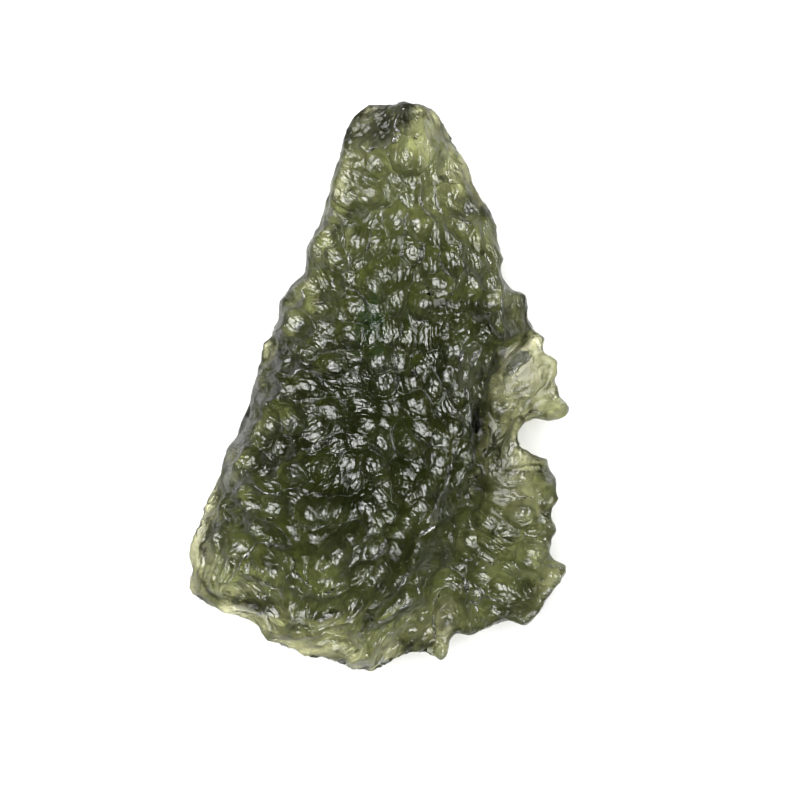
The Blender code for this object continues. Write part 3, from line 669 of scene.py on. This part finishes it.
def etchedNormal(tree, place, inside):
    lay = warped(tree, readStored(tree, "inBowl", "Vector"), glass["warpSize"], glass["warpAmount"])

    # small pits with sharp rims
    pits = addNode(tree, "ShaderNodeTexVoronoi", Scale=1.0)
    pits.voronoi_dimensions = "2D"
    oval = stretched(tree, lay, glass["pitLength"], glass["pitWidth"])
    tree.links.new(oval, pits.inputs["Vector"])
    hollow = multiplied(tree, pits.outputs["Distance"], pits.outputs["Distance"])
    normal = addBump(tree, multiplied(tree, hollow, inside), glass["pitDepth"], None)

    # streaks along the bowls
    streak = addNode(tree, "ShaderNodeTexNoise", Scale=1.0, Detail=glass["streakDetail"],
                     Roughness=glass["streakRoughness"])
    streak.noise_dimensions = "2D"
    long = stretched(tree, lay, glass["streakLength"], glass["streakWidth"])
    tree.links.new(long, streak.inputs["Vector"])
    ripple = multiplied(tree, streak.outputs["Fac"], inside)
    normal = addBump(tree, ripple, glass["streakDepth"], normal)

    # finer pits all over, also across the crests
    etch = addNode(tree, "ShaderNodeTexVoronoi", Scale=1.0 / (glass["etchSize"] * mm))
    tree.links.new(place, etch.inputs["Vector"])
    dimple = multiplied(tree, etch.outputs["Distance"], etch.outputs["Distance"])
    return addBump(tree, dimple, glass["etchDepth"], normal)


def coatLeft(tree, inside):
    # the coat is worn on the crests, and weaker where painted shade darkens the glass and on the sides
    worn = mapRange(tree, inside, (0.0, 1.0, glass["wornCoat"], glass["coat"]))
    deep = mapRange(tree, readStored(tree, "shade"), glass["deepRange"] + (glass["deepCoat"], 1.0))
    side = mapRange(tree, readStored(tree, "steep"), glass["sideSteep"] + (1.0, glass["sideCoat"]))
    return multiplied(tree, multiplied(tree, worn, deep), side)


def makeGlass():
    material = bpy.data.materials.new("moldaviteGlass")
    material.use_nodes = True
    tree = material.node_tree
    links = tree.links
    shader = tree.nodes["Principled BSDF"]
    shader.inputs["Metallic"].default_value = 0.0
    shader.inputs["IOR"].default_value = glass["ior"]
    shader.inputs["Transmission Weight"].default_value = 1.0
    shader.inputs["Specular Tint"].default_value = glass["underShine"]
    shader.inputs["Coat Roughness"].default_value = glass["coatRoughness"]
    shader.inputs["Coat IOR"].default_value = glass["ior"]
    place = tree.nodes.new("ShaderNodeTexCoord").outputs["Object"]
    links.new(glassColour(tree, place), shader.inputs["Base Color"])

    # the marks that follow a bowl fade out at its crest, where the next bowl's begin
    inside = mapRange(tree, readStored(tree, "crest"), glass["crestRange"] + (1.0, 0.0), "SMOOTHSTEP")
    normal = etchedNormal(tree, place, inside)
    links.new(normal, shader.inputs["Normal"])
    links.new(normal, shader.inputs["Coat Normal"])
    links.new(coatLeft(tree, inside), shader.inputs["Coat Weight"])

    patches = addNode(tree, "ShaderNodeTexNoise", Scale=1.0 / (glass["patchSize"] * mm),
                      Detail=glass["patchDetail"])
    links.new(place, patches.inputs["Vector"])
    matt = mapRange(tree, patches.outputs["Fac"], glass["patchRange"] + glass["roughness"])
    links.new(matt, shader.inputs["Roughness"])

    absorb = addNode(tree, "ShaderNodeVolumeAbsorption", Color=glass["absorbColour"],
                     Density=glass["absorbDensity"])
    links.new(absorb.outputs["Volume"], tree.nodes["Material Output"].inputs["Volume"])
    print("glass made")
    return material


def makeStone():
    piece = bpy.data.objects.new("moldaviteStone", mergedCopy("moldavite"))
    bpy.context.scene.collection.objects.link(piece)
    remeshed(piece, stone["voxel"])
    mesh = piece.data
    evened(mesh, stone["evenRounds"])
    steep = steepness(mesh)
    side = sideShare(steep)
    calm = calmness(mesh, side)
    shiftOut(mesh, stone["rimSwell"] * side)
    carveClefts(mesh)
    carveRidges(mesh)
    local, crest = carveBowls(mesh, calm)
    rng = np.random.default_rng(stone["seed"])
    for marks in (furrows, nicks):
        carveMarks(mesh, marks, rng, calm)
    storePattern(mesh, local, crest, steep)
    mesh.shade_smooth()
    mesh.materials.append(makeGlass())
    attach(piece, "root")
    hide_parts("moldavite")
    # every face has four corners, so it counts as two triangles
    print("stone:", len(mesh.vertices), "points,", 2 * len(mesh.polygons), "triangles")


studio = {
    "floorHalf": 1.5,  # metres
    "floorDrop": 0.05,  # mm under the stone, so that the two don't flicker
    "floorColour": (0.365, 0.365, 0.365, 1.0),
    "floorRoughness": 0.9,
    "floorGlow": 0.33,
    "glowColour": (1.0, 1.0, 1.0, 1.0),
    "worldColour": (0.80, 0.82, 0.85, 1.0),
    "worldStrength": 0.015,
    "sweepColour": (0.46, 0.47, 0.48, 1.0),
    "softboxPlace": (-0.06, 0.08, 0.60),  # metres
    "softboxSize": 0.60,  # metres
    "softboxPower": 16.5,  # watts
    "lens": 150.0,
    "clip": (0.005, 20.0),  # metres
    "pixelsPerMm": 18.0,  # the photo's scale
    "photoCentre": (378.5, 387.5),  # where the origin lies in the photo
    "photoSize": 800.0,  # pixels
    "rimHeight": 3.3,  # mm, the height at which the scale holds
}


def makeFloor():
    shape = bmesh.new()
    bmesh.ops.create_grid(shape, x_segments=1, y_segments=1, size=studio["floorHalf"])
    bmesh.ops.translate(shape, verts=shape.verts, vec=(0, 0, -studio["floorDrop"] * mm))
    mesh = bpy.data.meshes.new("floor")
    shape.to_mesh(mesh)
    shape.free()
    floor = bpy.data.objects.new("floor", mesh)
    bpy.context.scene.collection.objects.link(floor)
    material = bpy.data.materials.new("paleFloor")
    material.use_nodes = True
    shader = material.node_tree.nodes["Principled BSDF"]
    shader.inputs["Base Color"].default_value = studio["floorColour"]
    shader.inputs["Roughness"].default_value = studio["floorRoughness"]
    shader.inputs["Emission Color"].default_value = studio["glowColour"]
    shader.inputs["Emission Strength"].default_value = studio["floorGlow"]
    mesh.materials.append(material)
    print("floor laid")


def makeWorld():
    # the room is dim, and a pale sweep stands behind the floor where the camera looks
    world = bpy.data.worlds.new("studio")
    world.use_nodes = True
    tree = world.node_tree
    room = tree.nodes["Background"]
    room.inputs["Color"].default_value = studio["worldColour"]
    room.inputs["Strength"].default_value = studio["worldStrength"]
    sweep = addNode(tree, "ShaderNodeBackground", Color=studio["sweepColour"])
    seen = tree.nodes.new("ShaderNodeLightPath")
    both = tree.nodes.new("ShaderNodeMixShader")
    tree.links.new(seen.outputs["Is Camera Ray"], both.inputs["Fac"])
    tree.links.new(room.outputs["Background"], both.inputs[1])
    tree.links.new(sweep.outputs["Background"], both.inputs[2])
    tree.links.new(both.outputs["Shader"], tree.nodes["World Output"].inputs["Surface"])
    bpy.context.scene.world = world
    print("room lit")


def makeSoftbox():
    light = bpy.data.lights.new("softbox", "AREA")
    light.shape = "SQUARE"
    light.size = studio["softboxSize"]
    light.energy = studio["softboxPower"]
    softbox = bpy.data.objects.new("softbox", light)
    bpy.context.scene.collection.objects.link(softbox)
    softbox.location = studio["softboxPlace"]
    softbox.rotation_mode = "QUATERNION"
    softbox.rotation_quaternion = (-softbox.location).to_track_quat("-Z", "Y")
    print("softbox hung")


def makeCamera():
    # straight above, at the distance where the stone has its size in the photo
    data = bpy.data.cameras.new("camera")
    data.lens = studio["lens"]
    data.clip_start, data.clip_end = studio["clip"]
    camera = bpy.data.objects.new("camera", data)
    bpy.context.scene.collection.objects.link(camera)
    half = 0.5 * studio["photoSize"]
    x = (half - studio["photoCentre"][0]) / studio["pixelsPerMm"] * mm
    y = (studio["photoCentre"][1] - half) / studio["pixelsPerMm"] * mm
    width = studio["photoSize"] / studio["pixelsPerMm"] * mm
    camera.location = (x, y, studio["rimHeight"] * mm + width * data.lens / data.sensor_width)
    bpy.context.scene.camera = camera
    print("camera placed")


bpy.context.scene.view_settings.view_transform = "Standard"
makeStone()
makeFloor()
makeWorld()
makeSoftbox()
makeCamera()
